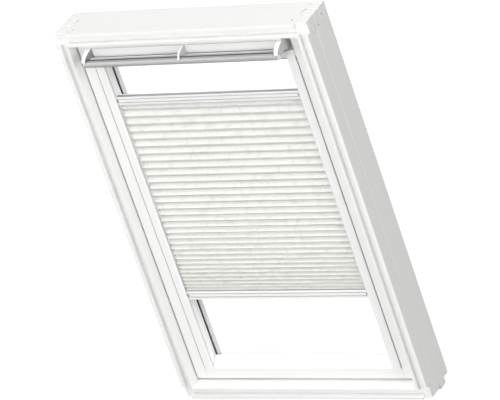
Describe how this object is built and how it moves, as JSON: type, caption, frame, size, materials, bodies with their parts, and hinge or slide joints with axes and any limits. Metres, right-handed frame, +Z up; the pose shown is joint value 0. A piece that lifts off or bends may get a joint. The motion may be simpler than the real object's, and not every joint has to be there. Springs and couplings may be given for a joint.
{
  "type": "skylight window blind",
  "caption": "Centre-pivot roof window with a ventilation flap, a control bar and a pleated blind that slides in side guide rails.",
  "frame": {"origin": "middle of the underside of the frame's sill, halfway through its depth", "axes": "+Z up the window from sill to head, +X to the right as seen from the room, -Y towards the room"},
  "size_m": [0.78, 0.156, 1.187],
  "materials": {
    "white_lacquer": "satin white lacquer over wood",
    "white_enamel": "smooth white enamel",
    "satin_aluminium": "satin anodised",
    "grey_cladding": "matt grey paint",
    "clear_glass": "clear",
    "spacer_metal": "plain",
    "black_rubber": "matt",
    "zinc_steel": "zinc plated",
    "pale_plastic": "matt",
    "grey_plastic": "matt",
    "pleated_fabric": "crinkled non-woven"
  },
  "bodies": {
    "frame": {"frame_top": "white_lacquer", "frame_bottom": "white_lacquer", "frame_left": "white_lacquer", "frame_right": "white_lacquer", "plug_upper_left": "pale_plastic", "plug_upper_right": "pale_plastic", "plug_lower_left": "pale_plastic", "plug_lower_right": "pale_plastic", "corner_screw_upper_left": "zinc_steel", "corner_screw_upper_right": "zinc_steel", "corner_screw_lower_left": "zinc_steel", "corner_screw_lower_right": "zinc_steel", "head_screw_left": "zinc_steel", "head_screw_right": "zinc_steel", "frame_pivot_left": "zinc_steel", "frame_pivot_right": "zinc_steel", "weather_seal": "black_rubber", "lock_keeper": "zinc_steel"},
    "sash": {"sash_bottom": "white_lacquer", "sash_top": "white_lacquer", "sash_left": "white_lacquer", "sash_right": "white_lacquer", "sash_pivot_left": "zinc_steel", "sash_pivot_right": "zinc_steel", "lock_case": "zinc_steel", "inner_pane": "clear_glass", "outer_pane": "clear_glass", "spacer_bar": "spacer_metal", "inner_gasket": "black_rubber", "outer_gasket": "black_rubber", "setting_block_left": "black_rubber", "setting_block_right": "black_rubber", "cladding_top": "grey_cladding", "cladding_bottom": "grey_cladding", "cladding_left": "grey_cladding", "cladding_right": "grey_cladding", "guide_rail_left": "white_enamel", "guide_cap_left": "white_enamel", "guide_rail_right": "white_enamel", "guide_cap_right": "white_enamel", "hinge_rod": "zinc_steel"},
    "flap": {"vent_flap": "white_enamel", "bar_arm_left": "white_enamel", "bar_arm_right": "white_enamel", "bar_arm_middle": "white_enamel", "control_bar": "satin_aluminium", "bar_cap_left": "pale_plastic", "bar_cap_right": "pale_plastic"},
    "blind_lower": {"blind_bottom_rail": "white_enamel", "bottom_slider_left": "grey_plastic", "bottom_slider_right": "grey_plastic", "pleated_cloth": "pleated_fabric"},
    "blind_upper": {"blind_top_rail": "white_enamel", "top_slider_left": "grey_plastic", "top_slider_right": "grey_plastic"}
  },
  "joints": [
    {"name": "sash_pivot", "type": "hinge", "parent": "frame", "child": "sash", "pos_m": [0, 0.004, 0.589], "axis": [1, 0, 0], "range_deg": [0, 160]},
    {"name": "flap_hinge", "type": "hinge", "parent": "sash", "child": "flap", "pos_m": [0, -0.0275, 1.119], "axis": [1, 0, 0], "range_deg": [0, 30]},
    {"name": "blind_lower_slide", "type": "slide", "parent": "sash", "child": "blind_lower", "axis": [0, 0, 1], "range_m": [-0.205, 0.085]},
    {"name": "blind_upper_slide", "type": "slide", "parent": "blind_lower", "child": "blind_upper", "axis": [0, 0, 1], "range_m": [-0.48, 0], "deforming": ["pleated_cloth"]}
  ]
}
